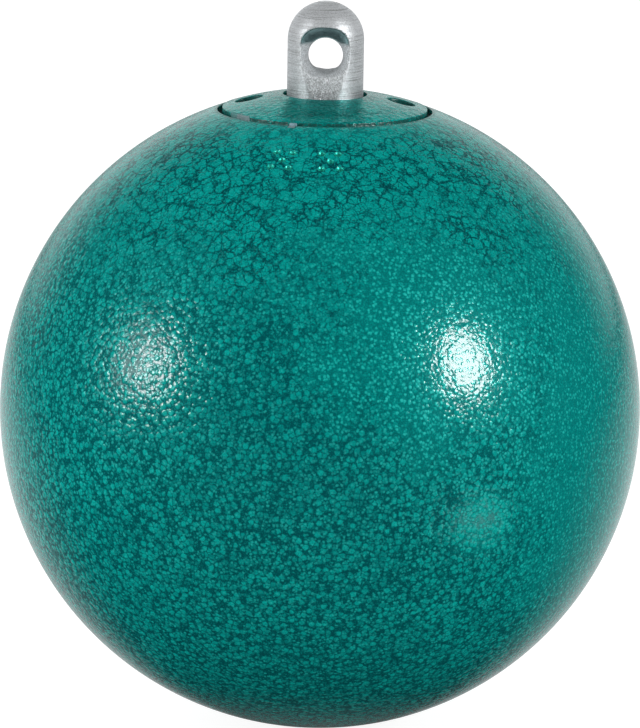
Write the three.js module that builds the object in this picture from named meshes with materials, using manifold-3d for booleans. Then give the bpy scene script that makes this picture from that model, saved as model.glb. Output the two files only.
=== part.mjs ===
// Head of a throwing hammer: a hollow painted ball with a screwed-in swivel.
// Millimetres, +Z up. The origin is the middle of the small flat that the ball rests on.
// The stem's eye is bored along Y.

import * as THREE from 'three';
import { mergeVertices } from 'three/addons/utils/BufferGeometryUtils.js';
import Module from 'manifold-3d';

const wasm = await Module();
wasm.setup();

// Ball
const ballDiameter = 95;
const footDiameter = 10;
const hollowDiameter = 58.2;
const ballastDepth = 14;

// Clearances
const faceGap = 0.1;
const fitGap = 0.2;
const looseGap = 0.3;
const overrun = 1;
const weldDistance = 0.0001;

// Stem and its eye
const stemDiameter = 11.2;
const stemReach = 13.34;
const shoulderStep = 0.8;
const spindleDiameter = stemDiameter - 2 * shoulderStep;
const shoulderGap = 0.6;
const stemOverhang = 2;
const spindleChamfer = 0.8;
const eyeDrop = 7.9;
const eyeDiameter = 5.06;
const eyeFlareMargin = 1.4;
const eyeFlareRadius = stemDiameter / 2 + eyeFlareMargin;
const eyeSideFlareShare = 0.65;
const reliefDepth = 1.25;
const reliefLength = 5.1;

// Bush and seal in the cap
const bushRunningGap = 0.2;
const bushWall = 1.8;
const bushDiameter = stemDiameter + 2 * (bushRunningGap + bushWall);
const bushLength = 6.1;
const sealSqueezeGap = 0.15;
const sealSeatGap = 0.1;

// Cap and the bore that it is screwed into
const capDiameter = 30.1;
const capHeight = 12.4;
const capSkirt = 2.75;
const capProud = 0.1;
const capEdgeBreak = 0.22;
const threadClearance = 0.3;
const grooveWidth = 0.7;
const grooveDepth = 1.6;
const grooveChamfer = 0.26;
const stemHoleGap = 0.55;
const stemHoleDiameter = stemDiameter + 2 * stemHoleGap;
const spannerHoleDiameter = 4.05;
const spannerHoleDepth = 6;
const spannerPitchShare = 0.4765;
const spannerPitchDiameter = bushDiameter + spannerPitchShare * (capDiameter - bushDiameter);
const seatWidth = 1.8;
const chamberDiameter = capDiameter - 2 * seatWidth;
const gasketThickness = 0.8;
const gasketMargin = 0.2;

// Key that locks the cap
const keyWidth = 1.3;
const keyHeight = 1.4;
const keyAngleDegrees = 255;

// Thrust bearing: it fills the room between the spindle and the cap's skirt
const raceDiameter = capDiameter - 2 * (capSkirt + looseGap);
const raceThickness = 3.1;
const raceRecessDepth = 4;
const upperRaceGap = 0.6;
const upperRaceBore = spindleDiameter + 2 * upperRaceGap;
const lowerRaceBore = spindleDiameter + 2 * fitGap;
const cageGap = 0.8;
const cageBore = spindleDiameter + 2 * cageGap;
const cageDiameter = raceDiameter - 2 * faceGap;
const cageRim = 0.57;
const cageWeb = 0.8;
const bearingBallCount = 9;
const bearingPitchDiameter = (cageBore + cageDiameter) / 2;
const pocketWidthInCage = (cageDiameter - cageBore) / 2 - 2 * cageRim;
const pocketWidthOnPitch = bearingPitchDiameter * Math.sin(Math.PI / bearingBallCount) - cageWeb;
const bearingBallDiameter = Math.min(pocketWidthInCage, pocketWidthOnPitch) - 2 * fitGap;
const raceGapShare = 0.588;
const raceGap = raceGapShare * bearingBallDiameter;
const cageThicknessShare = 0.643;
const cageThickness = cageThicknessShare * raceGap;

// Washer, nut and split pin
const washerInset = 1.75;
const washerDiameter = raceDiameter - 2 * washerInset;
const washerThickness = 2;
const nutWall = 3.7;
const nutAcrossFlats = spindleDiameter + 2 * nutWall;
const nutHeight = 8;
const splitPinDiameter = 1.8;
const splitPinRise = 1.3;
const splitPinEyeRadius = 1.3;
const splitPinLegDrop = 3.4;
const nutSlotPlay = 1;
const nutSlotWidth = splitPinDiameter + nutSlotPlay;
const nutSlotDepth = 3;
const nutChamfer = 0.7;

// Facets
const ballSides = 56;
const ballRings = 24;
const hollowRings = 14;
const ballastRings = 5;
const capRings = 5;
const stemSides = 48;
const domeRings = 10;
const bearingSides = 36;
const trackSteps = 5;
const holeSides = 24;
const pocketSides = 14;
const eyeSides = 28;
const eyeStations = 12;
const pinSides = 8;
const pinSteps = 16;

function sphereHeight(sphereRadius, radius) {
  return Math.sqrt(sphereRadius ** 2 - radius ** 2);
}

// Radii that follow
const ballRadius = ballDiameter / 2;
const footRadius = footDiameter / 2;
const hollowRadius = hollowDiameter / 2;
const domeRadius = ballRadius + capProud;
const capRadius = capDiameter / 2;
const boreRadius = capRadius + threadClearance;
const grooveRadius = capRadius + grooveWidth;
const chamberRadius = chamberDiameter / 2;
const stemRadius = stemDiameter / 2;
const stemHoleRadius = stemHoleDiameter / 2;
const spindleRadius = spindleDiameter / 2;
const eyeRadius = eyeDiameter / 2;
const bushRadius = bushDiameter / 2;
const bushSeatRadius = bushRadius + fitGap;
const raceRadius = raceDiameter / 2;
const recessRadius = raceRadius + looseGap;
const pitchRadius = bearingPitchDiameter / 2;
const bearingBallRadius = bearingBallDiameter / 2;
const pocketRadius = bearingBallRadius + fitGap;
const nutCorner = nutAcrossFlats / 2 / Math.cos(Math.PI / 6);

// Heights that follow
const ballCentre = sphereHeight(ballRadius, footRadius);
const capRimTop = ballCentre + sphereHeight(domeRadius, capRadius);
const capSeat = capRimTop - capHeight;
const gasketTop = capSeat - faceGap;
const ledge = gasketTop - gasketThickness - faceGap;
const grooveFloor = capRimTop - grooveDepth;
const raceRecessTop = capSeat + raceRecessDepth;
const bushBottom = raceRecessTop + faceGap;
const bushTop = bushBottom + bushLength;
const sealTubeRadius = (bushSeatRadius - stemRadius) / 2 - sealSqueezeGap;
const sealHeight = bushTop + sealSeatGap + sealTubeRadius;
const sealPocketTop = sealHeight + sealTubeRadius + sealSeatGap;
const upperRaceTop = raceRecessTop - faceGap;
const upperRaceBottom = upperRaceTop - raceThickness;
const bearingHeight = upperRaceBottom - raceGap / 2;
const lowerRaceBottom = bearingHeight - raceGap / 2 - raceThickness;
const washerTop = lowerRaceBottom - faceGap;
const washerBottom = washerTop - washerThickness;
const nutTop = washerBottom - faceGap;
const nutBottom = nutTop - nutHeight;
const splitPinHeight = nutBottom + splitPinRise;
const stemBottom = nutBottom - stemOverhang;
const stemShoulder = raceRecessTop + shoulderGap;
const stemTop = ballCentre + ballRadius + stemReach;
const stemDomeCentre = stemTop - stemRadius;
const eyeHeight = stemTop - eyeDrop;

// Materials
function finish(color, roughness, metalness) {
  return new THREE.MeshStandardMaterial({ color, roughness, metalness });
}
const tealPaint = () => finish('#05706a', 0.35, 0.2);
const turnedSteel = () => finish('#a9adb0', 0.4, 0.9);
const bearingSteel = () => finish('#c3c7ca', 0.2, 1);
const bronze = () => finish('#a8783c', 0.4, 0.9);
const sealRubber = () => finish('#1c1c1e', 0.8, 0);
const gasketFibre = () => finish('#262a2c', 0.85, 0);
const castMetal = () => finish('#5c5f61', 0.7, 0.7);

// A closed solid of three.js triangles, ready for cuts and joins
function toSolid(geometry) {
  const bare = geometry.index ? geometry.toNonIndexed() : geometry.clone();
  bare.deleteAttribute('normal');
  bare.deleteAttribute('uv');
  const merged = mergeVertices(bare, weldDistance);
  const corners = merged.index.array;
  const kept = [];
  for (let i = 0; i < corners.length; i += 3) {
    const [a, b, c] = [corners[i], corners[i + 1], corners[i + 2]];
    if (a !== b && b !== c && c !== a) kept.push(a, b, c);
  }
  return new wasm.Manifold(new wasm.Mesh({
    numProp: 3,
    vertProperties: new Float32Array(merged.attributes.position.array),
    triVerts: new Uint32Array(kept),
  }));
}

function toGeometry(solid) {
  const mesh = solid.getMesh();
  const geometry = new THREE.BufferGeometry();
  geometry.setAttribute('position', new THREE.BufferAttribute(mesh.vertProperties, 3));
  geometry.setIndex(new THREE.BufferAttribute(mesh.triVerts, 1));
  geometry.computeVertexNormals();
  return geometry;
}

// A solid of revolution about Z. Its profile holds [radius, height] points that run
// anticlockwise, with the radius to the right and the height upward.
function revolve(profile, sides) {
  const points = profile.map(([radius, height]) => new THREE.Vector2(radius, height));
  const geometry = new THREE.LatheGeometry(points, sides);
  geometry.rotateX(Math.PI / 2);
  return toSolid(geometry);
}

function ring(innerRadius, outerRadius, bottom, top, sides) {
  const profile = [
    [innerRadius, bottom],
    [outerRadius, bottom],
    [outerRadius, top],
    [innerRadius, top],
    [innerRadius, bottom],
  ];
  return revolve(profile, sides);
}

// Points of an arc about [radius, height], between two angles from the radius axis
function arc(centreRadius, centreHeight, radius, startAngle, endAngle, steps) {
  const points = [];
  for (let i = 0; i <= steps; i += 1) {
    const angle = startAngle + (endAngle - startAngle) * i / steps;
    points.push([
      centreRadius + radius * Math.cos(angle),
      centreHeight + radius * Math.sin(angle),
    ]);
  }
  return points;
}

// A round bar along Z, from bottom to top
function bar(radius, bottom, top, sides) {
  const geometry = new THREE.CylinderGeometry(radius, radius, top - bottom, sides);
  geometry.rotateX(Math.PI / 2);
  geometry.translate(0, 0, (top + bottom) / 2);
  return toSolid(geometry);
}

function block(width, depth, height, x, y, z) {
  const geometry = new THREE.BoxGeometry(width, depth, height);
  geometry.translate(x, y, z);
  return toSolid(geometry);
}

// Ball, with the stepped bore for the cap, the bearing chamber and the cored hollow
function makeHeadShell() {
  const chamferHeight = sphereHeight(ballRadius, grooveRadius + grooveChamfer);
  const outerStart = -Math.acos(footRadius / ballRadius);
  const outerEnd = Math.atan2(chamferHeight, grooveRadius + grooveChamfer);
  const hollowStart = Math.acos(chamberRadius / hollowRadius);
  const profile = [
    [0, 0],
    [footRadius, 0],
    ...arc(0, ballCentre, ballRadius, outerStart, 0, ballRings / 2).slice(1),
    ...arc(0, ballCentre, ballRadius, 0, outerEnd, ballRings / 2).slice(1),
    [grooveRadius, ballCentre + chamferHeight - grooveChamfer],
    [grooveRadius, grooveFloor],
    [boreRadius, grooveFloor],
    [boreRadius, ledge],
    [chamberRadius, ledge],
    ...arc(0, ballCentre, hollowRadius, hollowStart, -Math.PI / 2, hollowRings),
  ];
  profile[profile.length - 1][0] = 0;
  return revolve(profile, ballSides);
}

// Metal run into the bottom of the hollow
function makeBallast() {
  const radius = hollowRadius - looseGap;
  const surface = -radius + ballastDepth;
  const rim = Math.asin(surface / radius);
  const points = arc(0, ballCentre, radius, -Math.PI / 2, rim, ballastRings);
  points[0][0] = 0;
  return revolve([...points, [0, ballCentre + surface]], bearingSides);
}

// Cap: a domed plug with the stem's hole, the bush and seal pocket and the bearing's recess
function makeSwivelCap() {
  const edgeRadius = capRadius - capEdgeBreak;
  const edgeAngle = Math.acos(edgeRadius / domeRadius);
  const holeAngle = Math.acos(stemHoleRadius / domeRadius);
  const profile = [
    [recessRadius, capSeat],
    [capRadius, capSeat],
    [capRadius, capRimTop - capEdgeBreak],
    ...arc(0, ballCentre, domeRadius, edgeAngle, holeAngle, capRings),
    [stemHoleRadius, sealPocketTop],
    [bushSeatRadius, sealPocketTop],
    [bushSeatRadius, raceRecessTop],
    [recessRadius, raceRecessTop],
    [recessRadius, capSeat],
  ];
  let cap = revolve(profile, ballSides);
  const spannerPitch = spannerPitchDiameter / 2;
  const mouth = ballCentre + sphereHeight(domeRadius, spannerPitch);
  for (const side of [-1, 1]) {
    const drilling = bar(
      spannerHoleDiameter / 2,
      mouth - spannerHoleDepth,
      mouth + overrun,
      holeSides,
    );
    cap = cap.subtract(drilling.translate([side * spannerPitch, 0, 0]));
  }
  return cap;
}

// Small key that fills the groove and stops the cap from unscrewing
function makeLockKey() {
  const thickness = grooveWidth - 2 * faceGap;
  const middle = capRadius + grooveWidth / 2;
  const bottom = grooveFloor + faceGap;
  const key = block(thickness, keyWidth, keyHeight, middle, 0, bottom + keyHeight / 2);
  return key.rotate([0, 0, keyAngleDegrees]);
}

// Cutter for the eye: a throat that opens towards both faces of the stem, most at the
// top, where the wire bears, and not at all at the bottom
function makeEyeCutter() {
  const reach = stemRadius + overrun / 2;
  const sideExponent = -Math.log2(eyeSideFlareShare);
  const positions = [];
  const indices = [];
  for (let i = 0; i <= eyeStations; i += 1) {
    const y = reach * (2 * i / eyeStations - 1);
    const widening = eyeFlareRadius - sphereHeight(eyeFlareRadius, y);
    for (let k = 0; k < eyeSides; k += 1) {
      const angle = 2 * Math.PI * k / eyeSides;
      const share = ((1 + Math.sin(angle)) / 2) ** sideExponent;
      const radius = eyeRadius + share * widening;
      positions.push(radius * Math.cos(angle), y, eyeHeight + radius * Math.sin(angle));
    }
  }
  for (let i = 0; i < eyeStations; i += 1) {
    for (let k = 0; k < eyeSides; k += 1) {
      const a = i * eyeSides + k;
      const b = i * eyeSides + (k + 1) % eyeSides;
      indices.push(a, a + eyeSides, b, b, a + eyeSides, b + eyeSides);
    }
  }
  for (const [start, far] of [[0, false], [eyeStations * eyeSides, true]]) {
    for (let k = 1; k < eyeSides - 1; k += 1) {
      const [a, b, c] = [start, start + k, start + k + 1];
      indices.push(a, far ? c : b, far ? b : c);
    }
  }
  const geometry = new THREE.BufferGeometry();
  geometry.setAttribute('position', new THREE.Float32BufferAttribute(positions, 3));
  geometry.setIndex(indices);
  return toSolid(geometry);
}

// Sloping flat ground under the eye, on the front or the back
function makeReliefCutter(side) {
  const outside = stemRadius + overrun;
  const slope = reliefDepth / reliefLength;
  const tip = eyeHeight - reliefLength - (outside - stemRadius) / slope;
  const outline = new THREE.Shape([
    new THREE.Vector2(stemRadius - reliefDepth, eyeHeight),
    new THREE.Vector2(outside, tip),
    new THREE.Vector2(outside, eyeHeight),
  ]);
  const geometry = new THREE.ExtrudeGeometry(outline, { depth: stemDiameter, bevelEnabled: false });
  geometry.translate(0, 0, -stemRadius);
  geometry.rotateY(Math.PI / 2);
  geometry.rotateX(Math.PI / 2);
  const wedge = toSolid(geometry);
  return side > 0 ? wedge : wedge.rotate([0, 0, 180]);
}

// Stem: threaded spindle, shoulder, plain shank and hemispherical top with the wire eye
function makeSwivelStem() {
  const profile = [
    [0, stemBottom],
    [spindleRadius - spindleChamfer, stemBottom],
    [spindleRadius, stemBottom + spindleChamfer],
    [spindleRadius, stemShoulder],
    [stemRadius, stemShoulder],
    ...arc(0, stemDomeCentre, stemRadius, 0, Math.PI / 2, domeRings),
  ];
  profile[profile.length - 1][0] = 0;
  let stem = revolve(profile, stemSides);
  stem = stem.subtract(makeEyeCutter());
  for (const side of [-1, 1]) stem = stem.subtract(makeReliefCutter(side));
  const pinHole = bar(splitPinDiameter / 2 + fitGap, -stemRadius, stemRadius, pinSides);
  return stem.subtract(pinHole.rotate([0, 90, 0]).translate([0, 0, splitPinHeight]));
}

function makeBush() {
  return ring(stemRadius + bushRunningGap, bushRadius, bushBottom, bushTop, stemSides);
}

function makeSeal() {
  const middle = (stemRadius + bushSeatRadius) / 2;
  return revolve(arc(middle, sealHeight, sealTubeRadius, 0, 2 * Math.PI, pinSides), stemSides);
}

function makeGasket() {
  const inner = chamberRadius + gasketMargin;
  const outer = capRadius - gasketMargin;
  return ring(inner, outer, gasketTop - gasketThickness, gasketTop, ballSides);
}

// Race of the thrust bearing, with the ball track in its lower face (side 1) or upper (-1)
function makeRace(holeRadius, side) {
  const standoff = raceGap / 2;
  const half = Math.asin(standoff / pocketRadius);
  const near = side * standoff;
  const far = side * (standoff + raceThickness);
  const track = arc(0, 0, pocketRadius, Math.PI - half, half, trackSteps);
  const points = [
    [holeRadius, far],
    [holeRadius, near],
    ...track.map(([radius, height]) => [pitchRadius + radius, side * height]),
    [raceRadius, near],
    [raceRadius, far],
    [holeRadius, far],
  ].map(([radius, height]) => [radius, bearingHeight + height]);
  return revolve(side > 0 ? points : points.reverse(), bearingSides);
}

function bearingPlace(index) {
  const angle = 2 * Math.PI * index / bearingBallCount;
  return [pitchRadius * Math.cos(angle), pitchRadius * Math.sin(angle), bearingHeight];
}

function makeCage() {
  const bottom = bearingHeight - cageThickness / 2;
  const top = bearingHeight + cageThickness / 2;
  let cage = ring(cageBore / 2, cageDiameter / 2, bottom, top, bearingSides);
  for (let i = 0; i < bearingBallCount; i += 1) {
    const [x, y] = bearingPlace(i);
    const pocket = bar(pocketRadius, bottom - overrun, top + overrun, pocketSides);
    cage = cage.subtract(pocket.translate([x, y, 0]));
  }
  return cage;
}

function makeCastleNut() {
  const flatCorner = nutCorner - nutChamfer;
  const blank = revolve([
    [0, nutBottom],
    [flatCorner, nutBottom],
    [nutCorner, nutBottom + nutChamfer],
    [nutCorner, nutTop - nutChamfer],
    [flatCorner, nutTop],
    [0, nutTop],
  ], stemSides);
  const prism = new THREE.CylinderGeometry(nutCorner, nutCorner, nutHeight + overrun, 6);
  prism.rotateX(Math.PI / 2);
  prism.translate(0, 0, (nutTop + nutBottom) / 2);
  let nut = blank.intersect(toSolid(prism));
  nut = nut.subtract(bar(lowerRaceBore / 2, nutBottom - overrun, nutTop + overrun, stemSides));
  const slotHeight = nutBottom + nutSlotDepth / 2 - overrun / 2;
  for (const turn of [0, 60, 120]) {
    const slot = block(2 * nutCorner, nutSlotWidth, nutSlotDepth + overrun, 0, 0, slotHeight);
    nut = nut.subtract(slot.rotate([0, 0, turn]));
  }
  return nut;
}

// Split pin: a straight leg through nut and spindle, an eye at one end and a bent tip at
// the other
function makeSplitPin() {
  const radius = splitPinDiameter / 2;
  const reach = (nutAcrossFlats + splitPinDiameter) / 2;
  const bend = new THREE.CurvePath();
  const start = new THREE.Vector3(-reach, 0, splitPinHeight);
  const elbow = new THREE.Vector3(reach - splitPinDiameter, 0, splitPinHeight);
  const corner = new THREE.Vector3(reach, 0, splitPinHeight);
  const turn = new THREE.Vector3(reach, 0, splitPinHeight - splitPinDiameter);
  const tip = new THREE.Vector3(reach, 0, splitPinHeight - splitPinLegDrop);
  bend.add(new THREE.LineCurve3(start, elbow));
  bend.add(new THREE.QuadraticBezierCurve3(elbow, corner, turn));
  bend.add(new THREE.LineCurve3(turn, tip));
  const section = new THREE.Shape();
  section.absarc(0, 0, radius, 0, 2 * Math.PI, false);
  const leg = toSolid(new THREE.ExtrudeGeometry(section, {
    steps: pinSteps,
    curveSegments: pinSides / 2,
    bevelEnabled: false,
    extrudePath: bend,
  }));
  const eye = new THREE.TorusGeometry(splitPinEyeRadius, radius, pinSides, pinSteps);
  eye.rotateX(Math.PI / 2);
  eye.translate(-reach - splitPinEyeRadius, 0, splitPinHeight);
  return leg.add(toSolid(eye));
}

function makeBearingBall() {
  return toSolid(new THREE.SphereGeometry(bearingBallRadius, holeSides / 2, pinSides));
}

// Assembly
const hammerHead = new THREE.Group();

function place(name, solid, material, position = [0, 0, 0]) {
  const mesh = new THREE.Mesh(toGeometry(solid), material);
  mesh.name = name;
  mesh.position.set(...position);
  hammerHead.add(mesh);
}

place('head_shell', makeHeadShell(), tealPaint());
place('ballast', makeBallast(), castMetal());
place('swivel_cap', makeSwivelCap(), tealPaint());
place('cap_lock_key', makeLockKey(), turnedSteel());
place('cap_gasket', makeGasket(), gasketFibre());
place('stem_bushing', makeBush(), bronze());
place('stem_seal', makeSeal(), sealRubber());
place('swivel_stem', makeSwivelStem(), turnedSteel());
place('upper_race', makeRace(upperRaceBore / 2, 1), bearingSteel());
place('lower_race', makeRace(lowerRaceBore / 2, -1), bearingSteel());
place('bearing_cage', makeCage(), bronze());
for (let i = 0; i < bearingBallCount; i += 1) {
  place(`bearing_ball_${i + 1}`, makeBearingBall(), bearingSteel(), bearingPlace(i));
}
place('thrust_washer', ring(
  lowerRaceBore / 2,
  washerDiameter / 2,
  washerBottom,
  washerTop,
  bearingSides,
), turnedSteel());
place('castle_nut', makeCastleNut(), turnedSteel());
place('cotter_pin', makeSplitPin(), turnedSteel());

export default hammerHead;
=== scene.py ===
# Looks of a throwing hammer head: painted ball, screwed-in cap and turned swivel stem.
# Shapes are worked out in millimetres and turned into metres when a mesh is made.

import math

import bmesh
import bpy
import numpy as np
from mathutils import Matrix, Vector


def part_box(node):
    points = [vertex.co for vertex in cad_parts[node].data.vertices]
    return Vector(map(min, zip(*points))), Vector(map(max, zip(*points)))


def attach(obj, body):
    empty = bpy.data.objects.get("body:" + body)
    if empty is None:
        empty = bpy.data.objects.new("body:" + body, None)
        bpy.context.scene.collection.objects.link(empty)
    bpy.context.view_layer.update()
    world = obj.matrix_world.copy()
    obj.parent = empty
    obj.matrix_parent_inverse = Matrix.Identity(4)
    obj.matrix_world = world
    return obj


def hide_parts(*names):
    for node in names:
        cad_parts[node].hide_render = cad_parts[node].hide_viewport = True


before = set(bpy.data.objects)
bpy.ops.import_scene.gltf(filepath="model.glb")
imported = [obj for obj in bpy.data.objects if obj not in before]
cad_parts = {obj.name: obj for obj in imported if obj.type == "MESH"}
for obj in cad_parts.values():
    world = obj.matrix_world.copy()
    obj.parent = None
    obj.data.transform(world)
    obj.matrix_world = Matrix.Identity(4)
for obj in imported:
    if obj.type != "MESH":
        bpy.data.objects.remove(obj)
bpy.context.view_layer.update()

MM = 0.001


def box_mm(node):
    low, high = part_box(node)
    return np.array(low) / MM, np.array(high) / MM


def in_radians(*degrees):
    return tuple(math.radians(angle) for angle in degrees)


def half_width(node, axis=0):
    low, high = box_mm(node)
    return (high[axis] - low[axis]) / 2


def heights(node):
    """Heights of a node's bottom and top"""
    return tuple(corner[2] for corner in box_mm(node))


# Sizes read from the frame

BALL_RADIUS = half_width("head_shell")
CAP_RADIUS = half_width("swivel_cap")
STEM_RADIUS = half_width("swivel_stem")
BUSH_RADIUS = half_width("stem_bushing")
RACE_RADIUS = half_width("upper_race")
PIN_RADIUS = half_width("cotter_pin", axis=1)
STEM_BOTTOM, STEM_TOP = heights("swivel_stem")
KEY_BOTTOM, KEY_TOP = heights("cap_lock_key")
CAP_BOTTOM = heights("swivel_cap")[0]
NUT_BOTTOM = heights("castle_nut")[0]
GASKET_BOTTOM = heights("cap_gasket")[0]
RACE_TOP = heights("upper_race")[1]
SEAL_TOP = heights("stem_seal")[1]
key_middle = sum(box_mm("cap_lock_key")) / 2
KEY_ANGLE = math.atan2(key_middle[1], key_middle[0])

# Sizes that a box doesn't give

SEAT_GAP = 0.1
FIT_GAP = 0.2
LOOSE_GAP = 0.3
THREAD_CLEARANCE = 0.3

FOOT_RADIUS = 5.0
HOLLOW_RADIUS = 29.1
CHAMBER_RADIUS = 13.25
GROOVE_WIDTH = 0.7
GROOVE_DEPTH = 1.6
GROOVE_ROUND = 0.26

CAP_PROUD = 0.1
CAP_EDGE_ROUND = 0.16
STEM_HOLE_GAP = 0.55
STEM_HOLE_ROUND = 0.12
SPANNER_HOLE_RADIUS = 2.025
SPANNER_HOLE_DEPTH = 6.0
SPANNER_PITCH_RADIUS = 11.15
SPANNER_LIP = 0.25

KEY_WIDTH = 1.05
KEY_EDGE_ROUND = 0.09

SHOULDER_STEP = 0.8
SHOULDER_GAP = 0.6
SPINDLE_CHAMFER = 0.8
PIN_RISE = 1.3
EYE_DROP = 7.9
EYE_RADIUS = 2.53
EYE_FLARE_MARGIN = 1.4
EYE_FLARE_RADIUS = STEM_RADIUS + EYE_FLARE_MARGIN
EYE_SIDE_FLARE_SHARE = 0.65
EYE_SHOULDER_SHARE = 0.38
EYE_DOWN_FLARE_SHARE = 0.12
RELIEF_DEPTH = 1.25
RELIEF_LENGTH = 7.6

BALL_CENTRE = math.sqrt(BALL_RADIUS ** 2 - FOOT_RADIUS ** 2)
DOME_RADIUS = BALL_RADIUS + CAP_PROUD
STEM_HOLE_RADIUS = STEM_RADIUS + STEM_HOLE_GAP
SPINDLE_RADIUS = STEM_RADIUS - SHOULDER_STEP
EYE_HEIGHT = STEM_TOP - EYE_DROP
STEM_DOME_CENTRE = STEM_TOP - STEM_RADIUS


def ball_top(radius):
    """Height of the ball's surface at a distance from its upright axis"""
    return BALL_CENTRE + math.sqrt(BALL_RADIUS ** 2 - radius ** 2)


def dome_top(radius):
    """Height of the cap's domed top at a distance from its axis"""
    return BALL_CENTRE + math.sqrt(DOME_RADIUS ** 2 - radius ** 2)


CAP_RIM_TOP = dome_top(CAP_RADIUS)

# Camera, at the photograph's angle

CAMERA_AZIMUTH, CAMERA_ELEVATION, CAMERA_ROLL = in_radians(2.0, 12.667, 0.933)
CAMERA_DISTANCE = 667.5
CAMERA_LENS = 221.85
CAMERA_AIM_UP = 6.49
CAMERA_AIM_RIGHT = -0.095
CAMERA_NEAREST = 10.0


def camera_axes():
    """The camera's direction from the ball, its right and its up, before it is aimed"""
    out = Vector((
        math.sin(CAMERA_AZIMUTH) * math.cos(CAMERA_ELEVATION),
        -math.cos(CAMERA_AZIMUTH) * math.cos(CAMERA_ELEVATION),
        math.sin(CAMERA_ELEVATION),
    ))
    right = (-out).cross(Vector((0, 0, 1))).normalized()
    up = right.cross(-out)
    return out, right, up


def make_camera():
    out, right, up = camera_axes()
    centre = Vector((0, 0, BALL_CENTRE))
    place = centre + out * CAMERA_DISTANCE
    aim = centre + up * CAMERA_AIM_UP + right * CAMERA_AIM_RIGHT
    forward = (aim - place).normalized()
    level = forward.cross(Vector((0, 0, 1))).normalized()
    upright = level.cross(forward)
    across = level * math.cos(CAMERA_ROLL) + upright * math.sin(CAMERA_ROLL)
    top = upright * math.cos(CAMERA_ROLL) - level * math.sin(CAMERA_ROLL)
    data = bpy.data.cameras.new("camera")
    data.lens = CAMERA_LENS
    data.clip_start = CAMERA_NEAREST * MM
    camera = bpy.data.objects.new("camera", data)
    bpy.context.collection.objects.link(camera)
    turn = Matrix((across, top, -forward)).transposed().to_4x4()
    camera.matrix_world = Matrix.Translation(place * MM) @ turn
    bpy.context.scene.camera = camera


# Shader expressions

def pair_maths(operation, swapped=False):
    def apply(self, other):
        values = (other, self) if swapped else (self, other)
        return self.maths(operation, *values)
    return apply


class Reading:
    """A socket's value, with plain arithmetic"""

    def __init__(self, recipe, socket):
        self.recipe = recipe
        self.socket = socket

    def maths(self, operation, *values):
        inputs = dict(enumerate(values))
        return self.recipe.add("ShaderNodeMath", {"operation": operation}, inputs)

    def other(self, output):
        """Another output of the same node"""
        return Reading(self.recipe, self.socket.node.outputs[output])

    __add__ = pair_maths("ADD")
    __radd__ = pair_maths("ADD", swapped=True)
    __sub__ = pair_maths("SUBTRACT")
    __rsub__ = pair_maths("SUBTRACT", swapped=True)
    __mul__ = pair_maths("MULTIPLY")
    __rmul__ = pair_maths("MULTIPLY", swapped=True)
    __truediv__ = pair_maths("DIVIDE")
    most = pair_maths("MAXIMUM")
    least = pair_maths("MINIMUM")

    def root(self):
        return self.maths("SQRT", self)

    def length(self):
        return self.maths("ABSOLUTE", self)

    def doublings(self):
        return self.maths("LOGARITHM", self, 2.0)


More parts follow.
